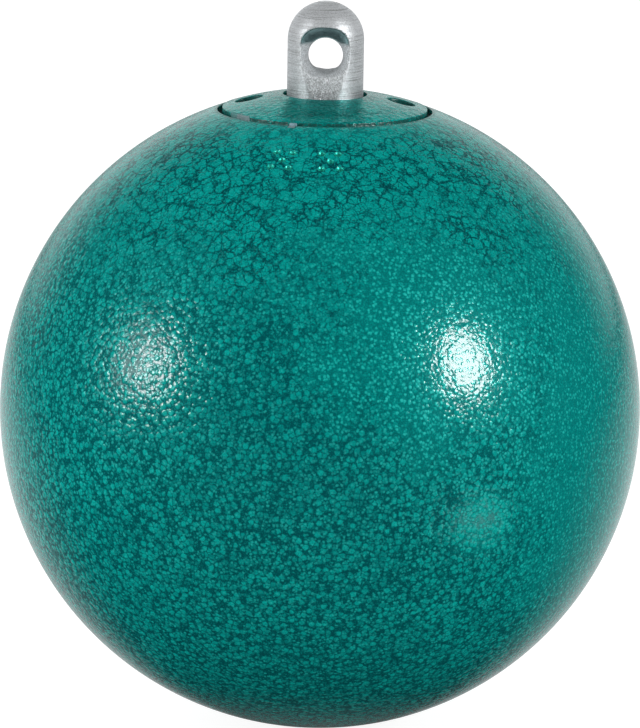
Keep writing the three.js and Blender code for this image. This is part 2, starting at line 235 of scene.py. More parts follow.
class Recipe:
    """The node tree of a material or of the world"""

    def __init__(self, tree):
        self.tree = tree
        tree.nodes.clear()

    def add(self, kind, settings=None, inputs=None, output=0):
        node = self.tree.nodes.new(kind)
        for name, value in (settings or {}).items():
            setattr(node, name, value)
        for key, value in (inputs or {}).items():
            if isinstance(value, Reading):
                self.tree.links.new(value.socket, node.inputs[key])
            else:
                node.inputs[key].default_value = value
        return Reading(self, node.outputs[output]) if node.outputs else node

    def vector_maths(self, operation, inputs, output=0):
        return self.add("ShaderNodeVectorMath", {"operation": operation}, inputs, output)

    def place_mm(self):
        """The point on the piece, in millimetres"""
        place = self.add("ShaderNodeTexCoord", output="Object")
        return self.scaled(place, 1 / MM)

    def scaled(self, vector, factor):
        return self.vector_maths("SCALE", {0: vector, "Scale": factor})

    def stretched(self, vector, factors):
        return self.vector_maths("MULTIPLY", {0: vector, 1: factors})

    def moved(self, vector, offset):
        return self.vector_maths("ADD", {0: vector, 1: offset})

    def distance(self, vector, place):
        return self.vector_maths("DISTANCE", {0: vector, 1: tuple(place)}, "Value")

    def along(self, vector, direction):
        return self.vector_maths("DOT_PRODUCT", {0: vector, 1: tuple(direction)}, "Value")

    def axis(self, vector, name):
        return self.add("ShaderNodeSeparateXYZ", None, {0: vector}, output=name)

    def noise(self, vector, size, detail=2.0, roughness=0.5, output=0):
        """Soft noise whose lumps are about size millimetres across"""
        inputs = {"Vector": vector, "Scale": 1 / size, "Detail": detail, "Roughness": roughness}
        return self.add("ShaderNodeTexNoise", None, inputs, output)

    def jitter(self, vector, size, reach):
        """A shift in any direction, for edges that wander over size millimetres"""
        lumps = self.noise(vector, size, output="Color")
        return self.scaled(self.moved(lumps, (-0.5, -0.5, -0.5)), reach)

    def cells(self, vector, size, feature="F1"):
        """Distance, in cells, from the middle of a cell about size millimetres across"""
        inputs = {"Vector": vector, "Scale": 1 / size}
        return self.add("ShaderNodeTexVoronoi", {"feature": feature}, inputs, "Distance")

    def cell_gaps(self, vector, size):
        """Distance, in cells, from the edge between such cells"""
        return self.cells(vector, size, "DISTANCE_TO_EDGE")

    def ease(self, value, start, end, low=0.0, high=1.0):
        """Goes smoothly from low to high as value goes from start to end"""
        inputs = {0: value, 1: start, 2: end, 3: low, 4: high}
        return self.add("ShaderNodeMapRange", {"interpolation_type": "SMOOTHSTEP"}, inputs)

    def blend(self, share, first, second):
        """Colour from first to second as share goes from 0 to 1"""
        settings = {"data_type": "RGBA"}
        return self.add("ShaderNodeMix", settings, {0: share, 6: first, 7: second}, output=2)

    def bump(self, height, distance):
        inputs = {"Height": height, "Distance": distance * MM, "Strength": 1.0}
        return self.add("ShaderNodeBump", None, inputs)

    def mixed(self, share, first, second):
        return self.add("ShaderNodeMixShader", None, {0: share, 1: first, 2: second})

    def principled(self, inputs):
        return self.add("ShaderNodeBsdfPrincipled", None, inputs)

    def ray(self, kind):
        return self.add("ShaderNodeLightPath", output=kind)

    def surface(self, shader, kind="ShaderNodeOutputMaterial"):
        self.add(kind, None, {"Surface": shader})


def srgb(red, green, blue):
    """A colour as seen on screen, 0 to 255, in Blender's linear values"""
    def linear(level):
        share = level / 255
        return share / 12.92 if share <= 0.04045 else ((share + 0.055) / 1.055) ** 2.4
    return linear(red), linear(green), linear(blue), 1.0


def shaded(tone, share):
    return tuple(min(1.0, share * level) for level in tone[:3]) + (1.0,)


def beyond(level, offsets):
    """Both ends of a range, given as offsets from a level"""
    return tuple(level + offset for offset in offsets)


def new_material(name):
    material = bpy.data.materials.new(name)
    material.use_nodes = True
    return material, Recipe(material.node_tree)


# Hammertone paint

PLATE = srgb(0, 150, 143)
CRACK = srgb(0, 54, 62)
FLAKE = srgb(6, 167, 157)
FIELD = srgb(0, 73, 78)
METAL_FLAKE = srgb(96, 255, 246)
METAL_FIELD = srgb(0, 116, 110)
METAL_EDGE_TINT = (0.5, 0.95, 0.92, 1.0)
# Bright teal in the punch dots: thin paint, and a painted glint
DOT_GLINT_PAINT = srgb(60, 236, 214)
# Dark teal of the painted shade in the groove, on the cap's side, around the stem and in the
# spanner holes
PAINTED_SHADE_TEAL = srgb(0, 74, 69)
BARE = srgb(128, 152, 156)

PAINT_ROUGHNESS = 0.12
PAINT_INDEX = 1.58
BARE_ROUGHER = 0.3
PAINTED_SHADE_ROUGHER = 0.25
BARE_METALLIC = 0.3
BARE_SINK = 1.2
BALL_RELIEF = 0.088
CAP_RELIEF = 0.16
METAL_FLAKE_SHARE = 0.2
# Share of teal flake in the painted glints of the punch dots and in the painted shade in front of
# the stem
GLINT_AND_SHADE_FLAKE_SHARE = 0.9
METAL_FLAKE_ROUGHNESS = 0.44

# Sizes of the paint's pattern, in millimetres

LARGE_PLATE = 1.9
SMALL_PLATE = 1.05
HAIR_PLATE = 0.62
BROKEN_PATCH = 1.7
CRACK_PATCH = 2.4
PLATE_GRAIN = 0.6
WIDE_FLAKE = 0.95
FINE_FLAKE = 0.54
SPECK = 0.19
PATCH = 8.0
WAVE = 0.95
BEAD = 0.45
SWAY_SIZE = 1.3
SWAY_REACH = 0.75
FRAY_SIZE = 0.5
PLATE_FRAY_REACH = 0.6
FLAKE_FRAY_REACH = 0.34

# Where each pattern lies, in millimetres. A range gives its start and end, then the
# values there if they aren't 0 and 1

FINE_GRAIN_PLACE = (17.0, -39.2, 68.0)
FINE_GRAIN = (24.0, 8.0)
FINE_GRAIN_WANDER = 34
RIGHT_GRAIN = (27.0, 37.0)
LEFT_GRAIN = (-38.0, -46.0, 0.0, 0.7)
SIDE_GRAIN_WANDER = 18
CROWN = (66.0, 84.0)
CROWN_WANDER = 30
CALM = (89.0, 92.6, 0.0, 0.4)
# Painted shade: fewer flakes, so darker paint, in the middle of the ball's front
PAINTED_FRONT_SHADE_PLACE = (-1.4, -46.1, 58.8)
PAINTED_FRONT_SHADE = (24.0, 6.0, 1.0, 0.76)
# Painted highlight: a small patch of paler flakes low on the right, where a low light glows
PAINTED_LOW_HIGHLIGHT_PLACE = (24.6, -40.0, 40.2)
PAINTED_LOW_HIGHLIGHT = (7.0, 2.0, 0.0, 0.4)
LOW_FLAKES = (14.0, 34.0, 0.86, 1.0)

# Where tones meet in a cell

CRACK_WIDTH = 0.055
CRACK_LEAST = 0.022
CRACK_MIDDLE = 0.45
LARGE_CRACK_SPREAD = 0.34
SMALL_CRACK_SPREAD = 0.26
CRACK_EDGE = (0.1, 1.5)
HAIR_EDGE = (0.0, 0.1, 0.84, 1.0)
BROKEN = (0.36, 0.52, 0.3, 1.0)
WIDE_FLAKE_EDGE = (0.6, 0.34)
WIDE_FLAKE_GAP = (0.0, 0.1)
FINE_FLAKE_EDGE = (0.56, 0.26)
GRAIN_EDGE = (0.6, 0.2)
GLINT_EDGE = (0.5, 0.15)
DARK_SPECKS = (0.3, 0.58, 0.45, 0.0)
PALE_SPECKS = (0.5, 0.72, 0.0, 0.5)
WIDE_DOME = (0.62, 0.16)
FINE_DOME = (0.6, 0.1)
FINE_DOME_SHARE = 0.4


def crack_share(recipe, gap, patches, spread):
    """0 in a crack to 1 on the plates; its width changes with the patches"""
    width = (CRACK_WIDTH + spread * (patches - CRACK_MIDDLE)).most(CRACK_LEAST)
    return recipe.ease(gap / width, *CRACK_EDGE)


def crown_plates(recipe, bent, place):
    """Share and colour of ragged plates, large and broken ones, parted by dark cracks"""
    large_gap = recipe.cell_gaps(bent, LARGE_PLATE)
    small_gap = recipe.cell_gaps(bent, SMALL_PLATE)
    hair_gap = recipe.cell_gaps(bent, HAIR_PLATE)
    small_tone = recipe.axis(recipe.cells(bent, SMALL_PLATE).other("Color"), "Y")
    patches = recipe.noise(place, CRACK_PATCH)
    broken = recipe.ease(recipe.noise(place, BROKEN_PATCH), *BROKEN)
    share = crack_share(recipe, large_gap, patches, LARGE_CRACK_SPREAD)
    small_share = crack_share(recipe, small_gap, patches, SMALL_CRACK_SPREAD)
    share = share * (1 - broken * (1 - small_share))
    share = share * recipe.ease(hair_gap, *HAIR_EDGE)
    share = share * (0.8 + 0.36 * recipe.noise(place, PLATE_GRAIN))
    calm = recipe.ease(recipe.axis(place, "Z"), *CALM)
    share = share + calm * (1 - share)
    colour = recipe.blend(share, CRACK, PLATE)
    return share, recipe.blend(0.7 * small_tone * share, colour, FLAKE)


def grain_zones(recipe, place, patches):
    """Where fine grain takes the place of flakes, and how far the right side's part goes"""
    away = recipe.distance(place, FINE_GRAIN_PLACE)
    front = recipe.ease(away + FINE_GRAIN_WANDER * patches, *FINE_GRAIN)
    sideways = recipe.axis(place, "X") + SIDE_GRAIN_WANDER * patches
    right = recipe.ease(sideways, *RIGHT_GRAIN)
    left = recipe.ease(sideways, *LEFT_GRAIN)
    return front.most(right).most(left), right


def hammertone(recipe, place):
    """Colour, height and glint of the paint: ragged plates parted by fine cracks on the
    crown, round domed flakes on a darker field lower down, fine grain in front and at
    the sides"""
    bent = recipe.moved(place, recipe.jitter(place, SWAY_SIZE, SWAY_REACH))
    frayed = recipe.moved(bent, recipe.jitter(place, FRAY_SIZE, PLATE_FRAY_REACH))
    ragged = recipe.moved(place, recipe.jitter(place, FRAY_SIZE, FLAKE_FRAY_REACH))
    patches = recipe.noise(place, PATCH, detail=3.0) - 0.5
    speck = recipe.noise(place, SPECK, detail=1.0, roughness=0.7)
    height = recipe.axis(place, "Z")

    wide = recipe.cells(ragged, WIDE_FLAKE)
    wide_gap = recipe.cell_gaps(ragged, WIDE_FLAKE)
    wide_tone = recipe.axis(wide.other("Color"), "X")
    fine = recipe.cells(ragged, FINE_FLAKE)
    fine_tone = recipe.axis(fine.other("Color"), "X")
    wide_flakes = recipe.ease(wide, *WIDE_FLAKE_EDGE) * recipe.ease(wide_gap, *WIDE_FLAKE_GAP)
    wide_flakes = wide_flakes * (0.46 + 0.62 * wide_tone + 0.7 * patches)
    fine_flakes = recipe.ease(fine, *FINE_FLAKE_EDGE) * (0.25 + 0.6 * fine_tone)
    flake_share = wide_flakes.most(fine_flakes)

    fine_zone, right_zone = grain_zones(recipe, place, patches)
    grain = recipe.ease(fine, *GRAIN_EDGE) * (0.3 + 0.7 * fine_tone)
    grain = 0.3 + 0.04 * right_zone + (1.25 - 0.65 * right_zone) * grain
    # Painted shade: fewer flakes in the middle of the front
    to_front_shade = recipe.distance(place, PAINTED_FRONT_SHADE_PLACE)
    flake_share = flake_share * recipe.ease(to_front_shade, *PAINTED_FRONT_SHADE)
    flake_share = flake_share + (grain - flake_share) * fine_zone
    # Painted highlight: more pale flakes in a small patch low on the right
    to_low_highlight = recipe.distance(place, PAINTED_LOW_HIGHLIGHT_PLACE)
    flake_share = flake_share + recipe.ease(to_low_highlight, *PAINTED_LOW_HIGHLIGHT)
    flake_share = flake_share * recipe.ease(height, *LOW_FLAKES)

    crown = recipe.ease(height + CROWN_WANDER * patches, *CROWN)
    crown = crown * (1 - fine_zone)
    plate_share, plates = crown_plates(recipe, frayed, place)
    colour = recipe.blend(crown, recipe.blend(flake_share, FIELD, FLAKE), plates)
    dark_specks = recipe.ease(speck, *DARK_SPECKS)
    pale_specks = recipe.ease(speck, *PALE_SPECKS)
    colour = recipe.blend(dark_specks, colour, FIELD)
    colour = recipe.blend(pale_specks, colour, FLAKE)

    small_domes = FINE_DOME_SHARE * recipe.ease(fine, *FINE_DOME)
    domes = recipe.ease(wide, *WIDE_DOME).most(small_domes)
    domes = domes + (small_domes - domes) * fine_zone
    waves = recipe.noise(place, WAVE, detail=0.0)
    beads = recipe.noise(ragged, BEAD, detail=0.0)
    relief = (0.44 + 0.1 * crown) * waves + (0.2 + 0.27 * crown) * beads
    relief = relief + (0.5 * domes * (1 - crown) + 0.14 * plate_share * crown)
    glint = recipe.ease(fine, *GLINT_EDGE) * (0.2 + 0.8 * fine_tone)
    return colour, relief, glint


def painted_steel(name, wear_and_painted_light, relief):
    """Hammertone paint with metal flake under its gloss; wear_and_painted_light takes the
    colour and gives it back with the shares of bare metal, of paint whose gloss gives way to
    teal flake as a painted glint and shade, and of painted shade in recesses"""
    material, recipe = new_material(name)
    place = recipe.place_mm()
    colour, height, glint = hammertone(recipe, place)
    colour, bare, painted_glint_and_shade, painted_shade = wear_and_painted_light(recipe, place, colour)
    metal = recipe.blend(glint, METAL_FIELD, METAL_FLAKE)
    # In the painted glints and shade the flake takes the paint's own colour, in place of the
    # gloss
    metal = recipe.blend(painted_glint_and_shade, metal, colour)
    # Painted shade: recesses darkened toward dark teal
    colour = recipe.blend(painted_shade, colour, PAINTED_SHADE_TEAL)
    colour = recipe.blend(bare, colour, BARE)
    normal = recipe.bump(height - BARE_SINK * bare, relief)
    paint = recipe.principled({
        "Base Color": colour,
        "Roughness": PAINT_ROUGHNESS + BARE_ROUGHER * bare + PAINTED_SHADE_ROUGHER * painted_shade,
        "Metallic": BARE_METALLIC * bare,
        "IOR": PAINT_INDEX,
        "Normal": normal,
    })
    flake = recipe.principled({
        "Base Color": recipe.blend(bare, metal, BARE),
        "Specular Tint": METAL_EDGE_TINT,
        "Roughness": METAL_FLAKE_ROUGHNESS,
        "Metallic": 1.0,
        "Normal": normal,
    })
    share = METAL_FLAKE_SHARE * (1 - painted_shade) + (GLINT_AND_SHADE_FLAKE_SHARE - METAL_FLAKE_SHARE) * painted_glint_and_shade
    recipe.surface(recipe.mixed(share, paint, flake))
    return material


# Wear of the paint, with painted shade and glints: millimetres from the groove's lip or the cap's
# side or rim

LIP_RADIUS = CAP_RADIUS + GROOVE_WIDTH + GROOVE_ROUND
LIP_TOP = (-2.0, -1.6)
LIP_RAGGED_SIZE = 0.4
LIP_RAGGED_TURN = 0.02
KEY_BARE_TURN = (0.034, 0.028)
KEY_BARE_REACH = (0.5, 0.35)
# Painted shade down in the groove and in a band just outside its lip
GROOVE_SHADE_REACH = (-0.05, -0.2)
GROOVE_SHADE_DROP = (-0.6, -0.9)
GROOVE_SHADE_SHARE = 0.8
LIP_SHADE_REACH = (0.35, 0.1)
LIP_SHADE_SHARE = 0.5

CHIP_STARTS = (*in_radians(-154.0, -152.5), 0.0, 0.4)
CHIP_THICKENS = (*in_radians(-147.0, -144.0), 0.0, 0.6)
CHIP_FINISHES = in_radians(-134.0, -135.5)
CHIP_REACH = (-0.3, -0.1)
CHIP_DROP = (-1.5, -1.2)
# Painted shade on the cap's side, down in the groove
WALL_SHADE_REACH = (-0.12, -0.03)
WALL_SHADE_DROP = (-0.02, -0.12)
WALL_SHADE_SPOT_SIZE = 0.45
WALL_SHADE_SPOTS = (0.66, 0.5, 0.35, 0.95)
# Painted shade and painted dark reflection of the stem on the cap in front of it
STEM_SHADE_HALF_WIDTH = (6.4, 4.9)
STEM_SHADE_START = (-4.0, -6.5)
STEM_SHADE_FADE = (15.5, 12.0, 0.3, 0.9)
# Painted shade on the cap around the stem's foot
ROUND_STEM_SHADE = (11.0, 6.5, 0.0, 0.3)
# Painted shade in the spanner holes
SPANNER_HOLE_SHADE = (0.6 * SPANNER_LIP, 0.1 * SPANNER_LIP, 0.0, 0.9)


def turn_and_radius(recipe, place):
    """Angle around the ball's upright axis and distance from it"""
    x = recipe.axis(place, "X")
    y = recipe.axis(place, "Y")
    return x.maths("ARCTAN2", y, x), (x * x + y * y).root()


def dot_share(recipe, place):
    """1 in the punch dots"""
    away = None
    for middle in punch_places():
        to_dot = recipe.distance(place, middle + [0, 0, BALL_CENTRE])
        away = to_dot if away is None else away.least(to_dot)
    return recipe.ease(away, PUNCH_RADIUS, 0.75 * PUNCH_RADIUS)


def ball_wear_and_painted_light(recipe, place, colour):
    """Bright paint in the punch dots, partly thin paint and partly a painted glint, a bare patch
    on the lip beside the lock key, and painted shade in the groove and just outside it"""
    dots = dot_share(recipe, place)
    angle, radius = turn_and_radius(recipe, place)
    height = recipe.axis(place, "Z")
    ragged = LIP_RAGGED_TURN * (recipe.noise(place, LIP_RAGGED_SIZE) - 0.5)
    top = recipe.ease(height, *beyond(CAP_RIM_TOP, LIP_TOP))
    near_key = recipe.ease((angle + ragged - KEY_ANGLE).length(), *KEY_BARE_TURN)
    bare = near_key * recipe.ease(radius + 8 * ragged, *beyond(LIP_RADIUS, KEY_BARE_REACH)) * top
    # Painted shade in the groove and just outside its lip
    groove_shade = GROOVE_SHADE_SHARE * recipe.ease(radius, *beyond(LIP_RADIUS, GROOVE_SHADE_REACH))
    groove_shade = groove_shade * recipe.ease(height, *beyond(CAP_RIM_TOP, GROOVE_SHADE_DROP))
    edge = recipe.ease(radius + 12 * ragged, *beyond(LIP_RADIUS, LIP_SHADE_REACH))
    painted_shade = groove_shade.most(LIP_SHADE_SHARE * edge * top) * (1 - bare)
    # The punch dots get bright paint and teal flake as a painted glint
    return recipe.blend(dots, colour, DOT_GLINT_PAINT), bare, dots, painted_shade


def cap_chip(recipe, angle, radius, height, ragged):
    """Bare metal where the paint is knocked off the cap's side, left of the front"""
    left = recipe.ease(angle + ragged, *CHIP_STARTS)
    left = left + recipe.ease(angle + ragged, *CHIP_THICKENS)
    right = recipe.ease(angle + ragged, *CHIP_FINISHES)
    side = recipe.ease(radius, *beyond(CAP_RADIUS, CHIP_REACH))
    return left * right * side * recipe.ease(height + ragged * 3, *beyond(CAP_RIM_TOP, CHIP_DROP))


def cap_wall_shade(recipe, place, radius, height, ragged):
    """Painted shade on the cap's side down in the groove, with paler spots"""
    wall = recipe.ease(radius, *beyond(CAP_RADIUS, WALL_SHADE_REACH))
    wall = wall * recipe.ease(height + ragged, *beyond(CAP_RIM_TOP, WALL_SHADE_DROP))
    spots = recipe.noise(place, WALL_SHADE_SPOT_SIZE, detail=1.0)
    return wall * recipe.ease(spots, *WALL_SHADE_SPOTS)


def cap_wear_and_painted_shade(recipe, place, colour):
    """A chip and painted shade on the cap's side, painted shade and a painted dark reflection of
    the stem in front of it, and painted shade around the stem and in the spanner holes"""
    angle, radius = turn_and_radius(recipe, place)
    height = recipe.axis(place, "Z")
    sideways = recipe.axis(place, "X").length()
    forward = recipe.axis(place, "Y")
    ragged = 0.16 * (recipe.noise(place, 0.7) - 0.5)
    bare = cap_chip(recipe, angle, radius, height, ragged)
    wall = cap_wall_shade(recipe, place, radius, height, ragged)
    # Painted shade and dark reflection of the stem: the paint in front of it gives its gloss to
    # dark teal flake
    stem_shade_and_reflection = recipe.ease(sideways + ragged * 14, *STEM_SHADE_HALF_WIDTH)
    stem_shade_and_reflection = stem_shade_and_reflection * recipe.ease(forward, *STEM_SHADE_START)
    stem_shade_and_reflection = stem_shade_and_reflection * recipe.ease(radius + ragged * 10, *STEM_SHADE_FADE)
    # Painted shade: the cap's paint darkened around the stem
    shade_round_stem = recipe.ease(radius + ragged * 8, *ROUND_STEM_SHADE)
    # Painted shade inside the spanner holes
    along = sideways - SPANNER_PITCH_RADIUS
    to_hole = (along * along + forward * forward).root() - SPANNER_HOLE_RADIUS
    hole = recipe.ease(to_hole, *SPANNER_HOLE_SHADE)
    painted_shade = wall.most(shade_round_stem).most(hole) * (1 - bare)
    return colour, bare, stem_shade_and_reflection * (1 - wall), painted_shade


# Metals, rubber and fibre

BRIGHT_STEEL = srgb(246, 250, 253)
PLAIN_STEEL = srgb(196, 200, 204)
# Dark teal of the throat: painted reflection of the paint and painted shade inside the eye
THROAT_PAINTED_REFLECTION = srgb(100, 146, 146)
STEEL_EDGE_TINT = (0.52, 0.54, 0.55, 1.0)
LATHE_RINGS = (0.14, 0.14, 4.5)
LATHE_SCRATCHES = (0.18, 0.18, 15.0)
SCRATCH_EDGE = (0.5, 0.66)
CUT_EDGE = (0.03, 0.12)
THROAT_EDGE = (1.7, 2.4)
STEM_FOOT = (97.5, 94.0)
PIT_EDGE = (0.36, 0.62)
PIT_SIZE = 0.2


def lathe_marks(recipe, place):
    """Height and dark share of the fine rings that a lathe leaves"""
    rings = recipe.noise(recipe.stretched(place, LATHE_RINGS), 1.0, detail=3.0)
    scratch = recipe.noise(recipe.stretched(place, LATHE_SCRATCHES), 1.0, detail=2.0)
    return 0.45 * rings + 0.55 * scratch, recipe.ease(scratch, *SCRATCH_EDGE)


def turned_steel(name, tone):
    """Steel as it comes off the lathe"""
    material, recipe = new_material(name)
    height, dark = lathe_marks(recipe, recipe.place_mm())
    recipe.surface(recipe.principled({
        "Base Color": recipe.blend(dark * 0.4, tone, shaded(tone, 0.6)),
        "Metallic": 0.8,
        "Roughness": 0.3 + 0.15 * height,
        "Normal": recipe.bump(height, 0.04),
    }))
    return material


def stem_steel(name, tone):
    """Turned steel, with cast grain where the eye's sides and the flats under it cut in,
    and a polished throat above, tinted dark teal as a painted reflection and shade"""
    material, recipe = new_material(name)
    place = recipe.place_mm()
    x, y, z = (recipe.axis(place, axis) for axis in "XYZ")
    above = (z - STEM_DOME_CENTRE).most(0.0)
    under_skin = STEM_RADIUS - (x * x + y * y + above * above).root()
    cut = recipe.ease(under_skin, *CUT_EDGE)
    throat = cut * recipe.ease(z - EYE_HEIGHT, *THROAT_EDGE)
    foot = recipe.ease(z, *STEM_FOOT)
    height, dark = lathe_marks(recipe, place)
    grain = recipe.noise(place, PIT_SIZE, detail=1.0, roughness=0.7)
    pits = recipe.ease(grain, *PIT_EDGE)
    grainy = cut * (1 - throat)
    marks = (0.6 * dark + 0.34 * pits) * (1 - cut)
    colour = recipe.blend(marks, tone, shaded(tone, 0.42))
    colour = recipe.blend(grainy * pits * 0.65, colour, shaded(tone, 0.3))
    # Painted reflection and shade: the polished throat is tinted dark teal
    colour = recipe.blend(throat * 0.8, colour, THROAT_PAINTED_REFLECTION)
    relief = (height * 0.06 + 0.03 * grain) * (1 - cut) + 0.11 * grain * grainy
    recipe.surface(recipe.principled({
        "Base Color": colour,
        "Specular Tint": STEEL_EDGE_TINT,
        "Metallic": 0.68 + 0.3 * throat + 0.2 * foot - 0.14 * grainy * (1 - foot),
        "Roughness": 0.38 + 0.12 * height + 0.04 * grainy - 0.28 * throat,
        "Normal": recipe.bump(relief, 1.0),
    }))
    return material


def plain_metal(name, tone, roughness, lump, metallic=1.0):
    """Metal with a slight change of tone and polish, lump millimetres across"""
    material, recipe = new_material(name)
    cloud = recipe.noise(recipe.place_mm(), lump, detail=4.0)
    recipe.surface(recipe.principled({
        "Base Color": recipe.blend(recipe.ease(cloud, 0.4, 0.7), tone, shaded(tone, 0.7)),
        "Metallic": metallic,
        "Roughness": roughness + 0.15 * (cloud - 0.5),
        "Normal": recipe.bump(cloud, 0.02 * lump),
    }))
    return material


def matt_stuff(name, tone, roughness, lump):
    """Rubber or fibre with a fine grain"""
    material, recipe = new_material(name)
    grain = recipe.noise(recipe.place_mm(), lump, detail=3.0, roughness=0.7)
    recipe.surface(recipe.principled({
        "Base Color": recipe.blend(recipe.ease(grain, 0.35, 0.7), tone, shaded(tone, 1.6)),
        "Roughness": roughness + 0.1 * (grain - 0.5),
        "Normal": recipe.bump(grain, 0.03),
    }))
    return material


# Mesh making

ON_AXIS = 1e-6


class Shell:
    """Points and faces of one piece, gathered ring by ring"""

    def __init__(self):
        self.points = []
        self.faces = []

    def ring(self, points):
        start = len(self.points)
        self.points.extend(tuple(point) for point in points)
        return list(range(start, len(self.points)))

    def band(self, first, second):
        count = len(first)
        for k in range(count):
            after = (k + 1) % count
            self.faces.append((first[k], first[after], second[after], second[k]))

    def lid(self, ring, centre):
        middle = self.ring([centre])[0]
        for k in range(len(ring)):
            self.faces.append((ring[k], ring[(k + 1) % len(ring)], middle))

    def piece(self, name, material, sharp_degrees):
        used = sorted({corner for face in self.faces for corner in face})
        number = {corner: k for k, corner in enumerate(used)}
        points = [tuple(c * MM for c in self.points[corner]) for corner in used]
        faces = [tuple(number[corner] for corner in face) for face in self.faces]
        mesh = bpy.data.meshes.new(name)
        mesh.from_pydata(points, [], faces)
        finish_mesh(mesh, material, sharp_degrees)
        return linked(name, mesh)


def linked(name, data):
    piece = bpy.data.objects.new(name, data)
    bpy.context.collection.objects.link(piece)
    return piece


def finish_mesh(mesh, material, sharp_degrees):
    work = bmesh.new()
    work.from_mesh(mesh)
    bmesh.ops.recalc_face_normals(work, faces=work.faces)
    work.to_mesh(mesh)
    work.free()
    mesh.shade_smooth()
    mesh.set_sharp_from_angle(angle=math.radians(sharp_degrees))
    mesh.materials.append(material)


def even_turns(segments):
    return 2 * math.pi * np.arange(segments) / segments


def circle(radius, height, turns):
    return [(radius * math.cos(a), radius * math.sin(a), height) for a in turns]


def arc(centre_height, radius, angles):
    """Profile points of an arc whose centre is on the axis"""
    return [(radius * math.cos(a), centre_height + radius * math.sin(a)) for a in angles]


def rounded(before, corner, after, radius, steps=4):
    """Points of a corner of a profile, rounded off over radius along both sides"""
    before, corner, after = (np.array(p, float) for p in (before, corner, after))
    start = corner + radius * (before - corner) / np.linalg.norm(before - corner)
    end = corner + radius * (after - corner) / np.linalg.norm(after - corner)
    points = []
    for k in range(steps + 1):
        t = k / steps
        points.append(tuple((1 - t) ** 2 * start + 2 * t * (1 - t) * corner + t ** 2 * end))
    return points


def lathe(shell, profile, turns):
    """Turns a profile of (radius, height) points; an end on the axis is closed"""
    rings = []
    ends = []
    for radius, height in profile:
        if radius < ON_AXIS:
            ends.append((len(rings), (0.0, 0.0, height)))
        else:
            rings.append(shell.ring(circle(radius, height, turns)))
    for first, second in zip(rings, rings[1:]):
        shell.band(first, second)
    for place, centre in ends:
        shell.lid(rings[0] if place == 0 else rings[-1], centre)
    if not ends:
        shell.band(rings[-1], rings[0])
    return rings


# Ball

TURNED_EDGE = 40
RINGS_BELOW_DOTS = 110
RINGS_AT_DOTS = 61
RINGS_ABOVE_DOTS = 5
SEGMENTS_AT_DOTS = 176
SEGMENTS_ELSEWHERE = 300
HOLLOW_RINGS = 41
SKIN = 0.01

PUNCH_RADIUS = 0.58
PUNCH_DEPTH = 0.36
PUNCH_LIP = 0.03
PUNCH_LIP_PLACE = 1.15
PUNCH_LIP_SPREAD = 0.18
PUNCH_TILT = 30.0
PUNCH_TURNS = (-102.5, -85.8)
PUNCH_GROUP = ((-3.0, -2.0), (3.0, -2.0), (0.0, 0.0), (-3.0, 2.0), (3.0, 2.0))
PUNCH_BAND = (26.0, 34.0)
PUNCH_SWEEP = (-108.5, -79.8)


def punch_places():
    """Middles of plain centre-punch dots, as points on the ball about its centre"""
    places = []
    for turn_middle in PUNCH_TURNS:
        for turn_offset, tilt_offset in PUNCH_GROUP:
            turn = math.radians(turn_middle + turn_offset)
            tilt = math.radians(PUNCH_TILT + tilt_offset)
            places.append(BALL_RADIUS * np.array([
                math.sin(tilt) * math.cos(turn),
                math.sin(tilt) * math.sin(turn),
                math.cos(tilt),
            ]))
    return places


def ball_tilts(start, end):
    """Angles of the ball's rings above its equator, closer together at the punch dots"""
    fine_low, fine_high = (90 - d for d in reversed(PUNCH_BAND))
    angles = list(np.linspace(start, fine_low, RINGS_BELOW_DOTS))
    angles += list(np.linspace(fine_low, fine_high, RINGS_AT_DOTS))[1:]
    angles += list(np.linspace(fine_high, end, RINGS_ABOVE_DOTS))[1:]
    return np.radians(angles)


def ball_turns():
    """Angles of the ball's points around its axis, closer together at the punch dots"""
    low, high = PUNCH_SWEEP
    fine = np.linspace(low, high, SEGMENTS_AT_DOTS)
    coarse = np.linspace(high, low + 360, SEGMENTS_ELSEWHERE)[1:-1]
    return np.radians(np.concatenate([fine, coarse]))


def ball_profile():
    """Half section of the ball, from the foot over the lip and down into the hollow"""
    groove_radius = CAP_RADIUS + GROOVE_WIDTH
    bore_radius = CAP_RADIUS + THREAD_CLEARANCE
    groove_floor = CAP_RIM_TOP - GROOVE_DEPTH
    ledge = GASKET_BOTTOM - SEAT_GAP
    corner = (groove_radius, ball_top(groove_radius))
    wall = (groove_radius, corner[1] - GROOVE_ROUND)
    foot = -math.degrees(math.acos(FOOT_RADIUS / BALL_RADIUS))
    lip = math.degrees(math.atan2(ball_top(LIP_RADIUS) - BALL_CENTRE, LIP_RADIUS))
    outside = arc(BALL_CENTRE, BALL_RADIUS, ball_tilts(foot, lip))
    hollow_start = math.acos(CHAMBER_RADIUS / HOLLOW_RADIUS)
    hollow_turns = np.linspace(hollow_start, -math.pi / 2, HOLLOW_RINGS)
    return [
        (0, 0),
        (FOOT_RADIUS * 0.5, 0),
        *outside[:-1],
        *rounded(outside[-2], corner, wall, GROOVE_ROUND),
        (groove_radius, groove_floor),
        (bore_radius, groove_floor),
        (bore_radius, ledge),
        (CHAMBER_RADIUS, ledge),
        *arc(BALL_CENTRE, HOLLOW_RADIUS, hollow_turns)[:-1],
        (0, BALL_CENTRE - HOLLOW_RADIUS),
    ]


